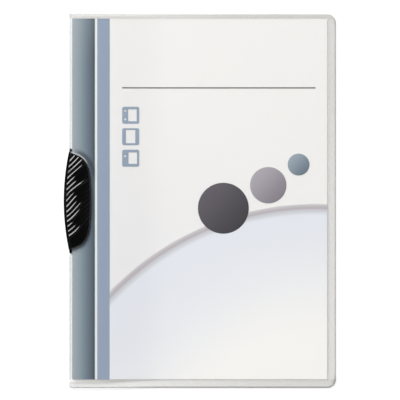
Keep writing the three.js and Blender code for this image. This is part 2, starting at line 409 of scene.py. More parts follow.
class Shade:
    """A material's node tree with short ways to add to it."""

    def __init__(self, name):
        self.material = bpy.data.materials.new(name)
        self.material.use_nodes = True
        self.tree = self.material.node_tree
        self.surface = self.tree.nodes["Principled BSDF"]

    def add(self, kind, inputs=(), **values):
        """A node with its settings, its inputs given as numbers or as sockets."""
        node = self.tree.nodes.new(kind)
        for name, value in values.items():
            setattr(node, name, value)
        for key, value in dict(inputs).items():
            self.feed(node.inputs[key], value)
        return node

    def feed(self, socket, value):
        if isinstance(value, bpy.types.NodeSocket):
            self.tree.links.new(value, socket)
        else:
            socket.default_value = value

    def set(self, **values):
        """Sets the surface's sockets, their names written with underscores."""
        for name, value in values.items():
            self.feed(self.surface.inputs[name.replace("_", " ")], value)

    def math(self, operation, first, second=0.0, clamp=False):
        node = self.add("ShaderNodeMath", {0: first, 1: second}, operation=operation)
        node.use_clamp = clamp
        return node.outputs[0]

    def position(self):
        """The point's x, y and z."""
        if not hasattr(self, "_xyz"):
            place = self.add("ShaderNodeTexCoord")
            self.point = place.outputs["Object"]
            self._xyz = self.add("ShaderNodeSeparateXYZ", {0: self.point}).outputs
        return self._xyz

    def noise(self, scale, detail=2.0, roughness=0.5):
        self.position()
        node = self.add(
            "ShaderNodeTexNoise",
            {"Vector": self.point, "Scale": scale, "Detail": detail, "Roughness": roughness},
        )
        return node.outputs["Fac"]

    def step(self, value, start, end, low=0.0, high=1.0):
        """low before start, high after end, and smooth in between."""
        node = self.add(
            "ShaderNodeMapRange",
            {"Value": value, "From Min": start, "From Max": end, "To Min": low, "To Max": high},
            interpolation_type="SMOOTHSTEP",
        )
        return node.outputs["Result"]

    def mix(self, share, first, second):
        """A colour between two, each a socket or three numbers."""
        node = self.add("ShaderNodeMix", data_type="RGBA")
        self.feed(node.inputs[0], share)
        for socket, value in ((node.inputs[6], first), (node.inputs[7], second)):
            self.feed(socket, value if isinstance(value, bpy.types.NodeSocket) else (*value, 1))
        return node.outputs[2]

    def ramp(self, share, stops):
        """A colour ramp through (place, colour) stops."""
        node = self.add("ShaderNodeValToRGB", {0: share})
        elements = node.color_ramp.elements
        while len(elements) < len(stops):
            elements.new(1)
        for element, (place, colour) in zip(elements, stops):
            element.position = place
            element.color = (*colour, 1)
        return node.outputs[0]

    def bump(self, height, distance, strength=1.0):
        node = self.add(
            "ShaderNodeBump",
            {"Strength": strength, "Distance": distance, "Height": height},
        )
        self.set(Normal=node.outputs[0])

    def coat(self, roughness, share):
        """Lays a thin sheet's own gloss over the surface, which shows even where it is clear."""
        facing = self.add("ShaderNodeLayerWeight", {"Blend": 0.5}).outputs["Facing"]
        grazing = self.math("MULTIPLY_ADD", self.math("POWER", facing, 5.0), 0.9)
        grazing.node.inputs[2].default_value = 0.02
        grazing = self.math("MULTIPLY", grazing, share)
        gloss = self.add("ShaderNodeBsdfGlossy", {"Roughness": roughness})
        normal = self.surface.inputs["Normal"].links[0].from_socket
        self.feed(gloss.inputs["Normal"], normal)
        self.surface.inputs["Specular IOR Level"].default_value = 0
        both = self.add("ShaderNodeMixShader", {0: grazing})
        self.tree.links.new(self.surface.outputs[0], both.inputs[1])
        self.tree.links.new(gloss.outputs[0], both.inputs[2])
        output = self.tree.nodes["Material Output"]
        self.tree.links.new(both.outputs[0], output.inputs["Surface"])


def over_sheet(shade, grown):
    """1 over the sheet, grown by this much on the sides where it casts its shadow, 0 outside."""
    x, y, _ = shade.position()
    blur = SHEET_BLUR * MM
    sides = (
        shade.step(x, SHEET_LOW.x - blur, SHEET_LOW.x + blur),
        shade.step(x, SHEET_HIGH.x + grown - blur, SHEET_HIGH.x + grown + blur, 1, 0),
        shade.step(y, SHEET_LOW.y - grown - blur, SHEET_LOW.y - grown + blur),
        shade.step(y, SHEET_HIGH.y - blur, SHEET_HIGH.y + blur, 1, 0),
    )
    over = sides[0]
    for side in sides[1:]:
        over = shade.math("MULTIPLY", over, side)
    return over


def margin_veil_and_shade(shade, free_veil):
    """The veil across the margins: it grows to the right and to the top, with faint clouds, and carries
    painted shade above the sheet and painted light below it.
    """
    x, y, _ = shade.position()
    blur = SHEET_BLUR * MM
    drop = (SPINE_X + DROP_START * MM, SPINE_X + DROP_END * MM)
    veil = shade.step(x, COVER_LOW.x, COVER_HIGH.x, free_veil * VEIL_AT_SPINE, free_veil)
    rise = shade.step(y, COVER_LOW.y, COVER_HIGH.y, VEIL_AT_BOTTOM, VEIL_AT_TOP)
    veil = shade.math("MULTIPLY", veil, rise)
    # Painted shade above the sheet beside the spine, and painted light below the sheet where its shadow
    # falls
    upper = shade.step(x, *drop, *SHADE_ABOVE_SHEET)
    lower = shade.step(x, *drop, *SHADE_BELOW_SHEET)
    above = shade.step(y, SHEET_HIGH.y - blur, SHEET_HIGH.y + blur, 1, upper)
    below = shade.step(y, SHEET_LOW.y - blur, SHEET_LOW.y + blur, lower, 1)
    return shade.math("MULTIPLY", veil, shade.math("MULTIPLY", above, below))


def painted_light_patch(shade):
    """Painted light: the pale patch below the sheet that lightens its shadow, where the film is still
    raised off the table.
    """
    x, y, _ = shade.position()
    blur = SHEET_BLUR * MM
    near, far = (SHEET_LOW.x + reach * MM for reach in PATCH_REACH)
    raised = shade.step(x, far, near)
    high, low = (SHEET_LOW.y - height * MM for height in PATCH_HEIGHT)
    patch = shade.step(y, low, high)
    patch = shade.math("MULTIPLY", patch, shade.step(y, SHEET_LOW.y - blur, SHEET_LOW.y + blur, 1, 0))
    return shade.math("MULTIPLY", shade.math("MULTIPLY", patch, raised), PATCH_PAINTED_LIGHT)


def film_material(look):
    """Clear film: milky in the margins, clear where it lies on paper. Painted shade darkens its cut
    edges, its fold and the film beside the clip; painted light lightens the sheet's shadow, and a
    painted highlight lies on the rim round the clip.
    """
    shade = Shade("clear_film")
    x, y, z = shade.position()
    inner, outer = (over_sheet(shade, line * MM) for line in BEND_LINE)
    bend = shade.math("SUBTRACT", outer, inner, clamp=True)
    # The veil is held off where the sheet's shadow falls, which is painted light on that shadow
    outside = shade.math("SUBTRACT", 1.0, over_sheet(shade, SHEET_SHADOW * MM))

    # Painted shade in the fold's crease: more veil in a dark colour, heavier at the bottom than at the
    # top
    low = shade.step(z, FOLD_END_HEIGHT[0] * MM, FOLD_END_HEIGHT[1] * MM, 1, 0)
    reach = (COVER_LOW.x + FOLD_REACH[0] * MM, COVER_LOW.x + FOLD_REACH[1] * MM)
    folded = shade.step(x, *reach, low, 0)
    fold_shade = shade.math("MULTIPLY", folded, shade.step(y, COVER_LOW.y, COVER_HIGH.y, *FOLD_SHADE_VEIL))
    cloud = shade.math("MULTIPLY_ADD", shade.noise(CLOUD_SCALE), CLOUD_SHARE)
    cloud.node.inputs[2].default_value = 1 - CLOUD_SHARE / 2
    free = shade.math("ADD", margin_veil_and_shade(shade, look.free_veil), fold_shade)
    free = shade.math("MULTIPLY", free, cloud)

    # Painted shade along the film's cut edge, deepest on the sides away from the lamp
    edge = shade.add("ShaderNodeAttribute", attribute_name="painted_edge_shade").outputs["Fac"]
    cut = shade.math("MULTIPLY", shade.math("POWER", edge, EDGE_POWER), EDGE_SHADE_VEIL)
    fade = (COVER_LOW.x, COVER_LOW.x + EDGE_FADE_AT_SPINE * MM)
    cut = shade.math("MULTIPLY", cut, shade.step(x, *fade, EDGE_SHARE_AT_SPINE, 1))
    # Painted light on the sheet's shadow: a pale line where the film bends over the sheet's edges, and a
    # pale patch below the sheet
    painted_light_ring = shade.math("MAXIMUM", shade.math("MULTIPLY", bend, BEND_PAINTED_LIGHT), painted_light_patch(shade))

    # The films lie one over the other, so each takes its part of the veil and of the gloss
    stacked = shade.math("MULTIPLY", outside, free)
    stacked = shade.math("ADD", shade.math("ADD", stacked, cut), painted_light_ring, clamp=True)
    clear = shade.math("SQRT", shade.math("SUBTRACT", 1.0, stacked))
    shared = shade.math("MULTIPLY_ADD", outside, -0.5)
    shared.node.inputs[2].default_value = 1
    veil = shade.math("MULTIPLY", shared, look.veil)
    veil = shade.math("ADD", veil, shade.math("SUBTRACT", 1.0, clear))

    # The rim's painted highlight, above 0, and the painted shadow beside the clip, below 0
    pressed = shade.add("ShaderNodeAttribute", attribute_name="pressed").outputs["Fac"]
    pale = shade.math("MAXIMUM", painted_light_ring, pressed, clamp=True)
    # Here sunk is the painted shadow beside the clip; with the fold's painted shade it darkens the
    # scattered colour
    sunk = shade.math("MULTIPLY", pressed, -1.0, clamp=True)
    # The cut edge's painted shade also darkens the scattered colour
    edge_shade_share = shade.math("MULTIPLY", edge, 2.0)
    tint = shade.mix(edge_shade_share, tuple(look.tint), linear(98, 95, 85))
    dark = shade.math("ADD", shade.math("MULTIPLY", sunk, 18.0), folded, clamp=True)
    tint = shade.mix(dark, tint, linear(66, 72, 74))
    # Painted light: the pale line and patch on the sheet's shadow, and the rim's painted highlight, in a
    # near white
    painted_light_share = shade.math("MULTIPLY", pale, 4.0, clamp=True)
    shade.set(
        Base_Color=shade.mix(painted_light_share, tint, linear(247, 245, 241)),
        Roughness=0.5,
        Alpha=shade.math("ADD", veil, shade.math("ABSOLUTE", pressed), clamp=True),
    )
    shade.bump(shade.noise(60, 1), 0.05 * MM, 0.3)
    flat = shade.math("MULTIPLY_ADD", folded, -FOLD_GLOSS_LOSS)
    flat.node.inputs[2].default_value = 1
    shade.coat(0.12, shade.math("MULTIPLY", flat, shared))
    return shade.material


def paper_material(look):
    """Smooth white paper with faint fibres, a little cooler at the lower left."""
    shade = Shade("white_paper")
    x, y, _ = shade.position()
    low = shade.step(shade.math("ADD", x, y), -0.2, 0.12, 1, 0)
    fibres = shade.noise(900, 3, 0.7)
    paper = shade.mix(low, tuple(look.paper), linear(239, 238, 240))
    shade.set(
        Base_Color=shade.mix(shade.math("MULTIPLY", fibres, 0.03), paper, linear(200, 198, 194)),
        Roughness=0.6,
    )
    shade.bump(fibres, 0.02 * MM, 0.3)
    return shade.material


def ink_material(name, colour_of):
    """Ink on the paper: colour_of() gives its colour, and the paper's fibres show in it."""
    shade = Shade(name)
    fibres = shade.noise(900, 3, 0.7)
    colour = colour_of(shade)
    shade.set(
        Base_Color=shade.mix(shade.math("MULTIPLY", fibres, 0.05), colour, (0.8, 0.8, 0.8)),
        Roughness=0.5,
    )
    shade.bump(fibres, 0.02 * MM, 0.3)
    return shade.material


def band_colour(shade):
    """From pale blue-grey at the spine to deep slate."""
    x, y, _ = shade.position()
    low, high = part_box("print_spine_band")
    share = shade.step(x, low.x, high.x)
    share.node.interpolation_type = "LINEAR"
    stops = [
        (0.0, linear(164, 174, 180)),
        (0.2, linear(148, 161, 169)),
        (0.35, linear(137, 151, 160)),
        (0.5, linear(118, 137, 148)),
        (0.65, linear(103, 120, 133)),
        (0.8, linear(90, 101, 118)),
        (0.87, linear(78, 93, 108)),
        (0.94, linear(54, 82, 88)),
        (0.99, linear(56, 81, 88)),
        (1.0, linear(190, 196, 200)),
    ]
    body = shade.ramp(share, stops)
    corner = shade.step(shade.math("SUBTRACT", y, x), 0.2, 0.27)
    return shade.mix(shade.math("MULTIPLY", corner, 0.2), body, linear(190, 198, 202))


def stripe_colour(shade):
    """Grey-blue that turns a little to violet along the stripe's middle."""
    x, _, _ = shade.position()
    low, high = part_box("print_stripe")
    plain = tuple(settings().folder_print.stripe)
    violet = (plain[0] * 1.01, plain[1] * 0.97, plain[2] * 1.06)
    middle = (low.x + high.x) / 2
    share = shade.math(
        "MULTIPLY", shade.step(x, low.x, middle), shade.step(x, middle, high.x, 1, 0)
    )
    return shade.mix(share, plain, violet)


def icon_colour(shade):
    """The squares are a touch deeper towards their lower ends."""
    _, y, _ = shade.position()
    plain = tuple(settings().folder_print.stripe)
    low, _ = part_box("print_icon_bottom")
    _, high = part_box("print_icon_top")
    return shade.mix(shade.step(y, low.y, high.y), plain, tuple(1.05 * c for c in plain))


def rule_colour(shade):
    """One plain colour, from the settings."""
    return tuple(settings().folder_print.rule)


def hill_colour(shade):
    """A pale field with a soft mauve-grey border, cooler at the lower left."""
    x, y, _ = shade.position()
    radius = HILL_RADIUS * MM
    across = shade.math("SUBTRACT", x, SPINE_X + HILL_CENTRE[0] * MM)
    up = shade.math("SUBTRACT", y, HILL_CENTRE[1] * MM)
    square = shade.math(
        "ADD", shade.math("MULTIPLY", across, across), shade.math("MULTIPLY", up, up)
    )
    reach = shade.math("SQRT", square)
    fade = shade.step(reach, radius - HILL_FADE * MM, radius)
    cool = shade.step(shade.math("SUBTRACT", x, y), -0.02, 0.18, 1, 0)
    near = shade.mix(cool, linear(252, 251, 248), linear(238, 238, 243))
    field = shade.mix(fade, near, linear(232, 235, 242))
    share = shade.step(reach, radius - HILL_BORDER * MM, radius)
    share.node.interpolation_type = "LINEAR"
    stops = [
        (0.0, linear(226, 229, 235)),
        (0.35, linear(206, 208, 213)),
        (0.47, linear(203, 199, 205)),
        (0.55, linear(183, 178, 184)),
        (0.7, linear(193, 188, 192)),
        (0.85, linear(206, 202, 204)),
        (1.0, linear(232, 229, 230)),
    ]
    border = shade.step(
        reach, radius - (HILL_BORDER + 1) * MM, radius - (HILL_BORDER - 1) * MM
    )
    return shade.mix(border, field, shade.ramp(share, stops))


def disc_colour(node, light, dark):
    """A disc shaded from light at the upper left to dark at the lower right."""
    low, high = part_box(node)

    def colour(shade):
        x, y, _ = shade.position()
        fall = shade.math("SUBTRACT", x, y)
        return shade.mix(shade.step(fall, low.x - high.y, high.x - low.y), light, dark)

    return colour


def clip_material(look):
    """Glossy moulded plastic with a faint unevenness."""
    shade = Shade("clip_black")
    flow = shade.noise(70, 3)
    rough = shade.math("MULTIPLY_ADD", flow, 0.06)
    rough.node.inputs[2].default_value = look.roughness - 0.03
    shade.set(
        Base_Color=shade.mix(shade.noise(30), tuple(look.colour), (0.0016, 0.0016, 0.002)),
        Roughness=rough,
        IOR=1.45,
    )
    shade.bump(shade.noise(500, 2), 0.03 * MM, 0.35)
    return shade.material


def pin_material():
    """Plain steel with turning marks round the pin's axis."""
    shade = Shade("pin_steel")
    x, y, _ = shade.position()
    across = shade.math("SUBTRACT", x, SPINE_X + PIN[0] * MM)
    up = shade.math("SUBTRACT", y, PIN[1] * MM)
    reach = shade.math(
        "SQRT",
        shade.math("ADD", shade.math("MULTIPLY", across, across), shade.math("MULTIPLY", up, up)),
    )
    marks = shade.math("SINE", shade.math("MULTIPLY", reach, 60000.0))
    shade.set(Base_Color=(0.5, 0.5, 0.51, 1), Metallic=1.0)
    shade.set(Roughness=shade.step(shade.noise(800), 0.3, 0.7, 0.25, 0.4))
    shade.bump(marks, 0.01 * MM, 0.5)
    return shade.material


def set_material(piece, material):
    piece.data.materials.clear()
    piece.data.materials.append(material)


# The films


def settled(x):
    share = min(1, max(0, (x - DROP_START) / (DROP_END - DROP_START)))
    return share * share * (3 - 2 * share)


def back_middle(x):
    """Height of the back film's middle."""
    return LIFT * (1 - settled(x)) + FILM / 2


def front_middle(x):
    """Height of the front film's middle."""
    room = FOLD_ROOM + (SHEET_ROOM - FOLD_ROOM) * settled(x)
    return back_middle(x) + FILM + room


def half_height(x):
    """Half the film's height at x, less at its round corners."""
    into = x - (COVER_WIDTH - CORNER_RADIUS)
    if into <= 0:
        return COVER_HALF
    return COVER_HALF - CORNER_RADIUS + math.sqrt(max(0, CORNER_RADIUS**2 - into**2))


def page_columns(start, fine):
    """Places across the page, close together at the clip and at the round corners."""
    corner = COVER_WIDTH - CORNER_RADIUS
    turns = [math.radians(angle) for angle in range(0, 91, CORNER_STEP)]
    return merged(
        [start, NOTCH_DEPTH, COVER_WIDTH - EDGE_BAND],
        spread(max(start, NOTCH_DEPTH), DROP_START, fine),
        spread(DROP_START, DROP_END, DROP_COLUMN),
        spread(DROP_END, corner, COARSE_COLUMN),
        [corner + CORNER_RADIUS * math.sin(turn) for turn in turns],
    )


def page_rows(fine):
    """Places up the page, close together at the clip."""
    return merged(
        spread(-COVER_HALF, -NOTCH_TOP - FINE_BEYOND_NOTCH, COARSE_ROW),
        spread(-NOTCH_TOP - FINE_BEYOND_NOTCH, NOTCH_BOTTOM, fine),
        spread(NOTCH_BOTTOM, NOTCH_TOP, fine),
        spread(NOTCH_TOP, NOTCH_TOP + FINE_BEYOND_NOTCH, fine),
        spread(NOTCH_TOP + FINE_BEYOND_NOTCH, COVER_HALF, COARSE_ROW),
        [EDGE_BAND - COVER_HALF, LOWER_EDGE_BAND - COVER_HALF, COVER_HALF - EDGE_BAND],
    )


def cut_notch(piece):
    """Opens the fold where the clip's web goes in."""
    bpy.context.tool_settings.mesh_select_mode = (False, False, True)
    deselect_all()
    piece.select_set(True)
    bpy.context.view_layer.objects.active = piece
    for face in piece.data.polygons:
        x = (face.center.x - SPINE_X) / MM
        y = face.center.y / MM
        face.select = x < NOTCH_DEPTH and NOTCH_BOTTOM < y < NOTCH_TOP
    bpy.ops.object.mode_set(mode="EDIT")
    bpy.ops.mesh.delete(type="FACE")
    bpy.ops.object.mode_set(mode="OBJECT")


def mark_edge_shade(piece):
    """Writes the painted shade at the film's cut edge: how near each vertex is to it, 1 at the edge and
    0 inside the band, times its depth on that side.
    """
    edge = piece.data.attributes.new("painted_edge_shade", "FLOAT", "POINT")
    for vertex, value in zip(piece.data.vertices, edge.data):
        x = (vertex.co.x - SPINE_X) / MM
        away = min(COVER_WIDTH - x, half_height(x) - abs(vertex.co.y / MM))
        corner = (COVER_WIDTH - CORNER_RADIUS, COVER_HALF - CORNER_RADIUS)
        if x > corner[0] and abs(vertex.co.y / MM) > corner[1]:
            away = CORNER_RADIUS - math.hypot(x - corner[0], abs(vertex.co.y / MM) - corner[1])
        # Painted shade: deepest along the bottom, less down the right side and faint along the top, as
        # the lamp stands at the upper left
        if vertex.co.y / MM < CORNER_RADIUS - COVER_HALF:
            band, shaded = LOWER_EDGE_BAND, 1
        elif COVER_WIDTH - x < CORNER_RADIUS:
            faded = COVER_HALF - EDGE_FADED_AT
            rounded = smooth(vertex.co.y / MM, COVER_HALF - CORNER_RADIUS, faded)
            band = EDGE_BAND
            shaded = SIDE_EDGE_SHADE + (UPPER_EDGE_SHADE - SIDE_EDGE_SHADE) * rounded
        else:
            band, shaded = EDGE_BAND, UPPER_EDGE_SHADE
        value.value = max(0, 1 - away / band) * shaded


def ramp(value, start, length):
    """0 before start, then straight up to 1 over this length."""
    return min(1, max(0, (value - start) / length))


def mark_rim_highlight_and_shadow(piece, outline):
    """Writes the painted highlight on the rim round the clip, above 0, and the painted shadow on the
    film beside it, below 0.
    """
    pressed = piece.data.attributes.new("pressed", "FLOAT", "POINT")
    for vertex, value in zip(piece.data.vertices, pressed.data):
        x = (vertex.co.x - SPINE_X) / MM
        y = vertex.co.y / MM
        if x > DROP_START or not RIM_LOW < y < FRONT_HALF + RIM_BEYOND:
            continue
        away = signed_distance(outline, x, y)
        # Painted highlight along the rim at the clip's upper end
        white = RIM_PAINTED_HIGHLIGHT * ramp(y, RIM_HIGHLIGHT_START, 5) * ramp(x, 1.2, 1)
        white *= math.exp(-((away / RIM_HIGHLIGHT_WIDTH) ** 2))
        # Painted shadow on the film beside the clip's upper right
        dark = RIM_PAINTED_SHADOW * ramp(y, RIM_SHADOW_START, 14) * ramp(x, 3, 7)
        dark *= math.exp(-(((away - RIM_SHADOW_PLACE) / RIM_SHADOW_WIDTH) ** 2))
        value.value = white - (dark if away > RIM_SHADOW_FROM else 0)


def punch_pin_hole(piece):
    """Cuts the round hole that the pin goes through."""
    deselect_all()
    bpy.ops.mesh.primitive_cylinder_add(
        vertices=32,
        radius=PIN_HOLE_RADIUS * MM,
        depth=20 * MM,
        location=(SPINE_X + PIN[0] * MM, PIN[1] * MM, 0),
    )
    punch = bpy.context.object
    apply_modifier(piece, "BOOLEAN", operation="DIFFERENCE", solver="EXACT", object=punch)
    bpy.data.objects.remove(punch)


def finish_film(piece, material):
    apply_modifier(piece, "SOLIDIFY", thickness=FILM * MM, offset=0)
    punch_pin_hole(piece)
    mark_edge_shade(piece)
    set_material(piece, material)
    finish_piece(piece)


def make_back_film(material):
    """Back cover and the outside of the fold, up to the top of its bend."""
    bend = FOLD_ROOM / 2 + FILM / 2
    middle = LIFT + FILM + FOLD_ROOM / 2
    centre = FOLD_ROOM / 2 + FILM
    across = [(x, back_middle(x)) for x in reversed(page_columns(centre, 0.8))]
    for angle in range(FOLD_STEP, 181, FOLD_STEP):
        turn = math.radians(angle)
        across.append((centre - bend * math.sin(turn), middle - bend * math.cos(turn)))

    def place(column, row):
        x, z = column
        return x, row / COVER_HALF * half_height(x), z

    piece = add_grid("back_cover_film", across, page_rows(1.2), place)
    cut_notch(piece)
    finish_film(piece, material)
    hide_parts("back_cover")
    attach(piece, "folder")


def make_front_film(material, look):
    """Front cover, from the top of the fold's bend to the open edge, with the rim round the clip."""
    outline = jaw_outline_points(FRONT_HALF + RIM_BESIDE_END, JAW_REACH + RIM_BESIDE_SIDE)

    def place(column, row):
        y = row / COVER_HALF * half_height(column)
        z = front_middle(column)
        if column < DROP_START and abs(row) < FRONT_HALF + RIM_SHAPED_BEYOND:
            away = signed_distance(outline, column, y)
            rim = look.rim_height / MM * math.exp(-((away / RIM_WIDTH) ** 2))
            sunk = SUNK_DEPTH / (1 + math.exp(away / SUNK_BLUR))
            z += rim - sunk
        return column, y, z

    columns = page_columns(FOLD_ROOM / 2 + FILM, 0.35)
    piece = add_grid("front_cover_film", columns, page_rows(0.45), place)
    cut_notch(piece)
    finish_film(piece, material)
    mark_rim_highlight_and_shadow(piece, outline)
    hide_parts("front_cover")
    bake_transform(piece)


# The clip


def arc_edge(sagitta, offset):
    """The clip's spine side as x for y: an arc through both tips of the rear jaw."""
    radius = (REAR_HALF**2 + sagitta**2) / (2 * sagitta)
    return lambda y: radius + offset - math.sqrt(max(0, radius**2 - y**2))


outer_edge = arc_edge(WEB_BULGE + TIP_INSET, -WEB_BULGE)
inner_edge = arc_edge(WEB_BULGE + TIP_INSET - WEB_WALL + WEB_TIP_WALL, WEB_WALL - WEB_BULGE)


def jaw_outline_points(half, reach):
    """The free side of a jaw from its middle to its upper end, as (x, y) points."""
    start_x = outer_edge(min(half, REAR_HALF))
    corner_x = reach - JAW_SIDE_BULGE
    corner_y = half - (corner_x - start_x) * JAW_END_SLOPE
    radius = (corner_y**2 + JAW_SIDE_BULGE**2) / (2 * JAW_SIDE_BULGE)
    side_y = corner_y - JAW_CORNER_ALONG
    side_x = reach - radius + math.sqrt(radius**2 - side_y**2)
    end_x = corner_x - JAW_CORNER_ACROSS
    end_y = half - (end_x - start_x) * JAW_END_SLOPE
    points = []
    for y in np.linspace(0, side_y, 24, endpoint=False):
        points.append((reach - radius + math.sqrt(radius**2 - y**2), y))
    for t in np.linspace(0, 1, 24, endpoint=False):
        x = (1 - t) ** 2 * side_x + 2 * t * (1 - t) * corner_x + t * t * end_x
        y = (1 - t) ** 2 * side_y + 2 * t * (1 - t) * corner_y + t * t * end_y
        points.append((x, y))
    points.append((end_x, end_y))
    points.append((start_x, half))
    return np.array(points)


def free_edge(points, y):
    """x of the free side at y."""
    return float(np.interp(abs(y), points[:, 1], points[:, 0]))


def signed_distance(points, x, y):
    """How far a place lies outside the free side of a jaw, below 0 inside it."""
    start = points[:-1]
    along = points[1:] - start
    place = np.array((x, abs(y)))
    share = ((place - start) * along).sum(1) / (along * along).sum(1)
    nearest = start + along * np.clip(share, 0, 1)[:, None]
    away = float(np.hypot(*(place - nearest).T).min())
    end = points[-1][1]
    inside = abs(y) < end and x < free_edge(points, y)
    return -away if inside else away


def crown(x, y):
    """Height of the front jaw's crowned top."""
    fall = (CROWN_HEIGHT - CROWN_TIP_HEIGHT) / (JAW_REACH - CROWN_FROM_SPINE) ** 2
    end_fall = (CROWN_HEIGHT - CROWN_END_HEIGHT) / FRONT_HALF**2
    top = JAW_UNDER + CROWN_HEIGHT
    return top - fall * (x - CROWN_FROM_SPINE) ** 2 - end_fall * y**2


def smooth(value, start, end):
    """0 before start, 1 after end, and smooth in between."""
    share = min(1, max(0, (value - start) / (end - start)))
    return share * share * (3 - 2 * share)


def wave(phase, rise):
    """A ridge's profile from 0 to 1 over one phase: a short climb and a long fall."""
    share = phase - math.floor(phase)
    if share < rise:
        return 0.5 * share / rise + 0.5 * smooth(share, 0, rise)
    return 1 - smooth(share, rise, 1)


# Each ridge from the jaw's upper end down: its height, and how far from the spine it stays steep
RIDGES = (
    (0.75, 3),
    (0.95, 7.5),
    (0.9, 12),
    (1.1, 14.5),
    (0.82, 13),
    (0.9, 4.5),
    (0.95, 6),
    (1.1, 15),
    (0.8, 4),
    (1, 6.5),
    (1, 6.5),
    (0.86, 12),
    (1.08, 9),
    (0.9, 3.5),
    (0.95, 5.5),
    (1.05, 9.5),
    (0.5, 0),
)
RIDGE_FADE = 3
RIDGE_REST = 0.5


def ridges(x, y, pitch):
    """The ridges' height from 0 to 1: they climb to the right, bend a little, and differ in height."""
    lean = 0.95 * x - 0.016 * math.sin(y / 13) * x * (x - 8)
    sway = 0.09 * math.sin(x / 4.3 + y / 7.1) + 0.05 * math.sin(y / 3.1 + 0.4)
    phase = (FRONT_HALF + 2 + lean - y) / pitch + sway
    number = min(len(RIDGES) - 1, max(0, math.floor(phase) - 1))
    height, steep = RIDGES[number]
    fade = 1 - (1 - RIDGE_REST) * smooth(x, steep - RIDGE_FADE, steep + RIDGE_FADE)
    uneven = 1 + 0.07 * math.sin(x / 1.9 + 2.1 * number)
    return height * fade * uneven * wave(phase, RIDGE_RISE)


def rounding(away, radius):
    """How far a rounded edge has fallen at this distance inside it."""
    if away >= radius:
        return 0
    return radius - math.sqrt(max(0, radius**2 - (radius - max(0, away)) ** 2))


def close_under(piece, level):
    """Gives an open top its sides and a flat underside."""
    deselect_all()
    piece.select_set(True)
    bpy.context.view_layer.objects.active = piece
    bpy.ops.object.mode_set(mode="EDIT")
    bpy.ops.mesh.select_all(action="SELECT")
    bpy.ops.mesh.extrude_region_move(TRANSFORM_OT_translate={"value": (0, 0, -MM)})
    bpy.ops.object.mode_set(mode="OBJECT")
    for vertex in piece.data.vertices:
        if vertex.select:
            vertex.co.z = level * MM
    bpy.ops.object.mode_set(mode="EDIT")
    bpy.ops.mesh.dissolve_faces()
    bpy.ops.mesh.select_all(action="SELECT")
    bpy.ops.mesh.normals_make_consistent(inside=False)
    bpy.ops.object.mode_set(mode="OBJECT")


def jaw_grid(name, half, rim, columns, row_step, top):
    """A jaw seen from above: a smooth rim along the spine and the rest, under a top surface."""
    points = jaw_outline_points(half, JAW_REACH)
    end = half - 0.04
    across = [("rim", s) for s in np.linspace(0, 1, 7)] if rim else []
    across += [("body", s) for s in np.linspace(0, 1, columns)]

    def place(column, row):
        part, share = column
        left = outer_edge(row)
        right = max(left + 0.05, free_edge(points, row))
        step = min(rim, (right - left) * 0.4)
        if part == "rim":
            x = left + step * share
        else:
            x = left + step + (right - left - step) * (0.5 - 0.5 * math.cos(math.pi * share))
        free = -signed_distance(points, x, row)
        return x, row, top(part, x, row, x - left, x - left - step, free)

    return add_grid(name, across, spread(-end, end, row_step), place)


def make_clip(look):
    """Front jaw with its ridges, web and smooth rear jaw, as one moulding."""
    height = look.ridge_height / MM
    pitch = look.ridge_pitch / MM

    def front_top(part, x, y, from_spine, from_rim, free):
        z = crown(x, y)
        if part == "rim":
            return z - RIM_DROP - rounding(from_spine, SPINE_ROUNDING)
        fade = min(1, max(0, free) / RIDGE_FADE_AT_EDGE)
        z += height * (ridges(x, y, pitch) - 0.5) * (0.35 + 0.65 * fade)
        return z - rounding(from_rim, RIM_ROUNDING) - rounding(free, FREE_ROUNDING)

    def rear_top(part, x, y, from_spine, from_rim, free):
        return REAR_JAW_TOP - rounding(min(from_spine, free), REAR_ROUNDING)

    front = jaw_grid("front_jaw", FRONT_HALF, RIM_STEP, RIDGE_COLUMNS, RIDGE_ROW, front_top)
    close_under(front, JAW_UNDER)
    rear = jaw_grid("rear_jaw", REAR_HALF, 0, REAR_COLUMNS, REAR_ROW, rear_top)
    close_under(rear, 0)

    web_top = NOTCH_TOP - 0.5
    low, high = 0.3, JAW_UNDER + 0.3
    section = [(0, low), (0, high), (1, high), (1, low), (0, low)]

    def web_place(column, row):
        side, z = column
        edge = outer_edge(row) + 0.02 if side == 0 else inner_edge(row)
        return edge, row, z

    web = add_grid("web", section, spread(0.1 - REAR_HALF, web_top, 1.2), web_place)
    deselect_all()
    web.select_set(True)
    bpy.context.view_layer.objects.active = web
    bpy.ops.object.mode_set(mode="EDIT")
    bpy.ops.mesh.select_all(action="SELECT")
    bpy.ops.mesh.remove_doubles(threshold=0.01 * MM)
    bpy.ops.mesh.select_all(action="SELECT")
    bpy.ops.mesh.fill_holes(sides=4)
    bpy.ops.mesh.select_all(action="SELECT")
    bpy.ops.mesh.normals_make_consistent(inside=False)
    bpy.ops.object.mode_set(mode="OBJECT")

    deselect_all()
    for piece in (rear, web, front):
        piece.select_set(True)
    bpy.context.view_layer.objects.active = front
    bpy.ops.object.join()
    clip = bpy.context.object
    clip.name = "swing_clip_moulding"
    clip.data.name = clip.name
    sink_head_seat(clip)
    set_material(clip, clip_material(look))
    finish_piece(clip, 35)
    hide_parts("swing_clip")
    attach(clip, "clip")


def sink_head_seat(clip):
    """Cuts the seat of the pin's head out of the rear jaw, and the pin's bore through it."""
    for radius, depth in PIN_SEAT:
        deselect_all()
        bpy.ops.mesh.primitive_cylinder_add(
            vertices=48,
            radius=radius * MM,
            depth=2 * depth * MM,
            location=(SPINE_X + PIN[0] * MM, PIN[1] * MM, 0),
        )
        cutter = bpy.context.object
        apply_modifier(clip, "BOOLEAN", operation="DIFFERENCE", solver="EXACT", object=cutter)
        bpy.data.objects.remove(cutter)


# Operators


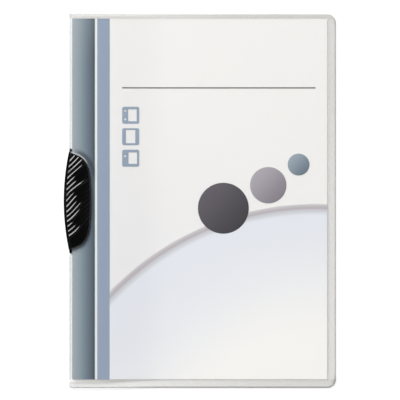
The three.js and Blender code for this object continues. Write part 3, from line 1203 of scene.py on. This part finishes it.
class FOLDER_OT_add_films(bpy.types.Operator):
    """Add the folded film: back cover and fold, and the front cover that opens"""

    bl_idname = "clip_folder.add_films"
    bl_label = "Films"

    def execute(self, context):
        look = settings().folder_film
        material = film_material(look)
        make_back_film(material)
        make_front_film(material, look)
        return {"FINISHED"}


class FOLDER_OT_dress_print(bpy.types.Operator):
    """Give the title sheet its paper and each printed field its ink"""

    bl_idname = "clip_folder.dress_print"
    bl_label = "Title Sheet and Print"

    def execute(self, context):
        nodes = frame["nodes"]
        set_material(nodes["title_sheet"], paper_material(settings().folder_print))
        icon = ink_material("icon_ink", icon_colour)
        dark = disc_colour("print_disc_large", linear(92, 86, 96), linear(40, 38, 46))
        mauve = disc_colour("print_disc_middle", linear(178, 172, 180), linear(128, 121, 132))
        slate = disc_colour("print_disc_small", linear(158, 172, 184), linear(96, 114, 128))
        inks = {
            "print_spine_band": ink_material("band_ink", band_colour),
            "print_stripe": ink_material("stripe_ink", stripe_colour),
            "print_rule": ink_material("rule_ink", rule_colour),
            "print_icon_top": icon,
            "print_icon_middle": icon,
            "print_icon_bottom": icon,
            "print_hill": ink_material("hill_ink", hill_colour),
            "print_disc_large": ink_material("graphite_ink", dark),
            "print_disc_middle": ink_material("mauve_ink", mauve),
            "print_disc_small": ink_material("slate_ink", slate),
        }
        for name, material in inks.items():
            set_material(nodes[name], material)
        return {"FINISHED"}


class FOLDER_OT_add_clip(bpy.types.Operator):
    """Add the ridged clip and finish its pin"""

    bl_idname = "clip_folder.add_clip"
    bl_label = "Clip and Pin"

    def execute(self, context):
        make_clip(settings().folder_clip)
        set_material(frame["nodes"]["pivot_pin"], pin_material())
        return {"FINISHED"}


class FOLDER_OT_add_stage(bpy.types.Operator):
    """Add the table, the lamps and the camera"""

    bl_idname = "clip_folder.add_stage"
    bl_label = "Stage"

    def execute(self, context):
        look = settings().folder_stage
        add_floor()
        add_world()
        add_lamp("key_lamp", LAMP_PLACE, LAMP_SIZE, look.key_power)
        add_camera(look)
        context.scene.view_settings.view_transform = "Standard"
        return {"FINISHED"}


def add_floor():
    """A white table that keeps the folder's shadow."""
    deselect_all()
    bpy.ops.mesh.primitive_plane_add(size=8, location=(0, 0, -0.1 * MM))
    floor = bpy.context.object
    floor.name = "floor"
    shade = Shade("white_table")
    shade.set(Base_Color=(0.9, 0.9, 0.9, 1), Roughness=1.0)
    shade.surface.inputs["Specular IOR Level"].default_value = 0
    path = shade.add("ShaderNodeLightPath").outputs
    seen = shade.math("MAXIMUM", path["Is Camera Ray"], path["Is Glossy Ray"])
    seen = shade.math("MAXIMUM", seen, path["Is Transmission Ray"])
    light = shade.math("MULTIPLY", seen, TABLE_LIGHT)
    shade.set(Emission_Color=(1, 1, 1, 1), Emission_Strength=light)
    set_material(floor, shade.material)


def add_world():
    """A plain studio dome, paler at the horizon than overhead."""
    world = bpy.context.scene.world or bpy.data.worlds.new("studio")
    bpy.context.scene.world = world
    world.use_nodes = True
    tree = world.node_tree
    background = tree.nodes["Background"]
    place = tree.nodes.new("ShaderNodeTexCoord")
    split = tree.nodes.new("ShaderNodeSeparateXYZ")
    height = tree.nodes.new("ShaderNodeMapRange")
    height.interpolation_type = "SMOOTHSTEP"
    height.inputs["From Min"].default_value = DOME_HEIGHT[0]
    height.inputs["From Max"].default_value = DOME_HEIGHT[1]
    height.inputs["To Min"].default_value = DOME_LIGHT[0]
    height.inputs["To Max"].default_value = DOME_LIGHT[1]
    tree.links.new(place.outputs["Generated"], split.inputs[0])
    tree.links.new(split.outputs["Z"], height.inputs["Value"])
    tree.links.new(height.outputs["Result"], background.inputs["Strength"])
    background.inputs["Color"].default_value = (1, 1, 1, 1)


def add_lamp(name, place, size, power):
    """A square lamp that shines at the middle of the folder."""
    lamp = bpy.data.lights.new(name, "AREA")
    lamp.size = size
    lamp.energy = power
    holder = bpy.data.objects.new(name, lamp)
    bpy.context.scene.collection.objects.link(holder)
    holder.location = place
    holder.rotation_euler = (-Vector(place)).to_track_quat("-Z", "Y").to_euler()


def add_camera(look):
    """A long lens straight above, framed as the photograph is."""
    camera = bpy.data.cameras.new("camera")
    holder = bpy.data.objects.new("camera", camera)
    bpy.context.scene.collection.objects.link(holder)
    pixel = look.view_width / PHOTO_PIXELS
    across, up = (offset * pixel for offset in CAMERA_OFFSET)
    holder.location = (across, up, look.camera_height)
    camera.sensor_width = SENSOR_WIDTH
    camera.lens = SENSOR_WIDTH * (look.camera_height - 3 * MM) / look.view_width
    camera.clip_start = 0.01
    camera.clip_end = 20
    bpy.context.scene.camera = holder


class FOLDER_PT_sidebar(bpy.types.Panel):
    """Lists the folder's settings and operators"""

    bl_idname = "FOLDER_PT_sidebar"
    bl_label = "Clip Folder"
    bl_space_type = "VIEW_3D"
    bl_region_type = "UI"
    bl_category = "Clip Folder"

    def draw(self, context):
        groups = (
            (context.scene.folder_film, "clip_folder.add_films"),
            (context.scene.folder_print, "clip_folder.dress_print"),
            (context.scene.folder_clip, "clip_folder.add_clip"),
            (context.scene.folder_stage, "clip_folder.add_stage"),
        )
        for group, operator in groups:
            box = self.layout.box()
            for name in group.__annotations__:
                box.prop(group, name)
            box.operator(operator)


GROUPS = {
    "folder_film": FilmSettings,
    "folder_print": PrintSettings,
    "folder_clip": ClipSettings,
    "folder_stage": StageSettings,
}
CLASSES = (
    *GROUPS.values(),
    FOLDER_OT_add_films,
    FOLDER_OT_dress_print,
    FOLDER_OT_add_clip,
    FOLDER_OT_add_stage,
    FOLDER_PT_sidebar,
)


def register():
    for cls in CLASSES:
        bpy.utils.register_class(cls)
    for name, group in GROUPS.items():
        setattr(bpy.types.Scene, name, PointerProperty(type=group))


def unregister():
    for name in GROUPS:
        delattr(bpy.types.Scene, name)
    for cls in reversed(CLASSES):
        bpy.utils.unregister_class(cls)


def main():
    register()
    bpy.ops.clip_folder.add_stage()
    bpy.ops.clip_folder.dress_print()
    bpy.ops.clip_folder.add_films()
    bpy.ops.clip_folder.add_clip()


if __name__ == "__main__":
    main()
